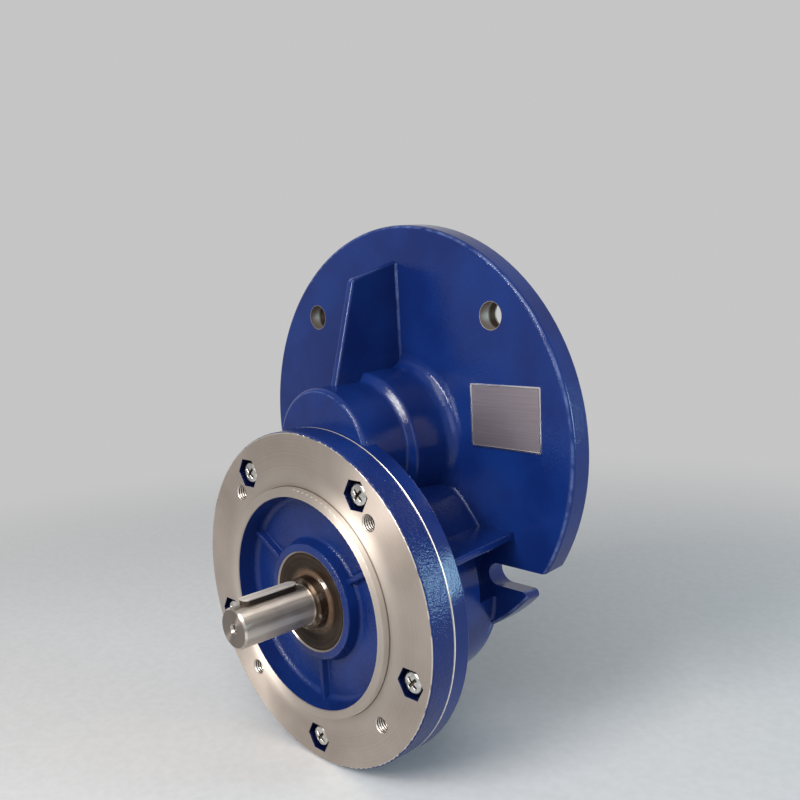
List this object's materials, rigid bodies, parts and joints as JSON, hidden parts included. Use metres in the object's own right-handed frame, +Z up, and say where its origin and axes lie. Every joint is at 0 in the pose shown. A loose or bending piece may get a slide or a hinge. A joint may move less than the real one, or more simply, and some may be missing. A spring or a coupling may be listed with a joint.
{
  "type": "helical gearbox",
  "caption": "Compact helical gear unit with a large motor flange, an offset output flange with spigot, a keyed output shaft and a hollow input pinion.",
  "frame": {"origin": "centre of the output flange's machined mounting face, on the output axis", "axes": "+Z up, towards the input axis; +Y towards the motor; the output shaft points to -Y"},
  "size_m": [0.2, 0.1185, 0.2465],
  "materials": {
    "housing_paint": "gloss blue enamel over cast aluminium",
    "cover_paint": "gloss blue enamel, mounting face machined bare",
    "zinc_steel": "bright zinc plate",
    "shaft_steel": "ground steel",
    "key_steel": "drawn steel",
    "gear_steel": "ground case-hardened steel",
    "bearing_steel": "polished bearing steel",
    "cage_steel": "pressed steel",
    "spring_steel": "blackened spring steel",
    "seal_rubber": "nitrile rubber, lightly oiled",
    "ring_rubber": "nitrile rubber",
    "plate_metal": "satin bare plate"
  },
  "bodies": {
    "housing": {"gear_housing": "housing_paint", "output_flange": "cover_paint", "cover_o_ring": "ring_rubber", "cover_screws": "zinc_steel", "cover_screw_washers": "zinc_steel", "name_plate": "plate_metal", "input_bearing_circlip": "spring_steel", "output_oil_seal": "seal_rubber", "output_seal_spring": "spring_steel", "input_oil_seal": "seal_rubber", "input_seal_spring": "spring_steel", "output_front_bearing_outer_ring": "bearing_steel", "output_rear_bearing_outer_ring": "bearing_steel", "input_front_bearing_outer_ring": "bearing_steel", "input_rear_bearing_outer_ring": "bearing_steel"},
    "output_train": {"output_shaft": "shaft_steel", "output_key": "key_steel", "gear_key": "key_steel", "output_gear": "gear_steel", "gear_spacer": "shaft_steel", "output_circlip": "spring_steel", "output_front_bearing_inner_ring": "bearing_steel", "output_rear_bearing_inner_ring": "bearing_steel"},
    "input_train": {"input_pinion": "gear_steel", "pinion_circlip": "spring_steel", "input_front_bearing_inner_ring": "bearing_steel", "input_rear_bearing_inner_ring": "bearing_steel"},
    "output_front_balls": {"output_front_bearing_cage": "cage_steel", "output_front_bearing_balls": "bearing_steel"},
    "output_rear_balls": {"output_rear_bearing_cage": "cage_steel", "output_rear_bearing_balls": "bearing_steel"},
    "input_front_balls": {"input_front_bearing_cage": "cage_steel", "input_front_bearing_balls": "bearing_steel"},
    "input_rear_balls": {"input_rear_bearing_cage": "cage_steel", "input_rear_bearing_balls": "bearing_steel"}
  },
  "joints": [
    {"name": "output_spin", "type": "hinge", "parent": "housing", "child": "output_train", "pos_m": [0, 0, 0], "axis": [0, 1, 0], "continuous": true},
    {"name": "pinion_spin", "type": "hinge", "parent": "housing", "child": "input_train", "pos_m": [0, 0, 0.0665], "axis": [0, 1, 0], "continuous": true},
    {"name": "output_front_roll", "type": "hinge", "parent": "housing", "child": "output_front_balls", "pos_m": [0, 0, 0], "axis": [0, 1, 0], "continuous": true},
    {"name": "output_rear_roll", "type": "hinge", "parent": "housing", "child": "output_rear_balls", "pos_m": [0, 0, 0], "axis": [0, 1, 0], "continuous": true},
    {"name": "input_front_roll", "type": "hinge", "parent": "housing", "child": "input_front_balls", "pos_m": [0, 0, 0.0665], "axis": [0, 1, 0], "continuous": true},
    {"name": "input_rear_roll", "type": "hinge", "parent": "housing", "child": "input_rear_balls", "pos_m": [0, 0, 0.0665], "axis": [0, 1, 0], "continuous": true}
  ],
  "couplings": [
    {"joint": "pinion_spin", "follows": "output_spin", "ratio": -2.9444},
    {"joint": "output_front_roll", "follows": "output_spin", "ratio": 0.41181},
    {"joint": "output_rear_roll", "follows": "output_spin", "ratio": 0.38149},
    {"joint": "input_front_roll", "follows": "output_spin", "ratio": -1.2796},
    {"joint": "input_rear_roll", "follows": "output_spin", "ratio": -1.2249}
  ]
}
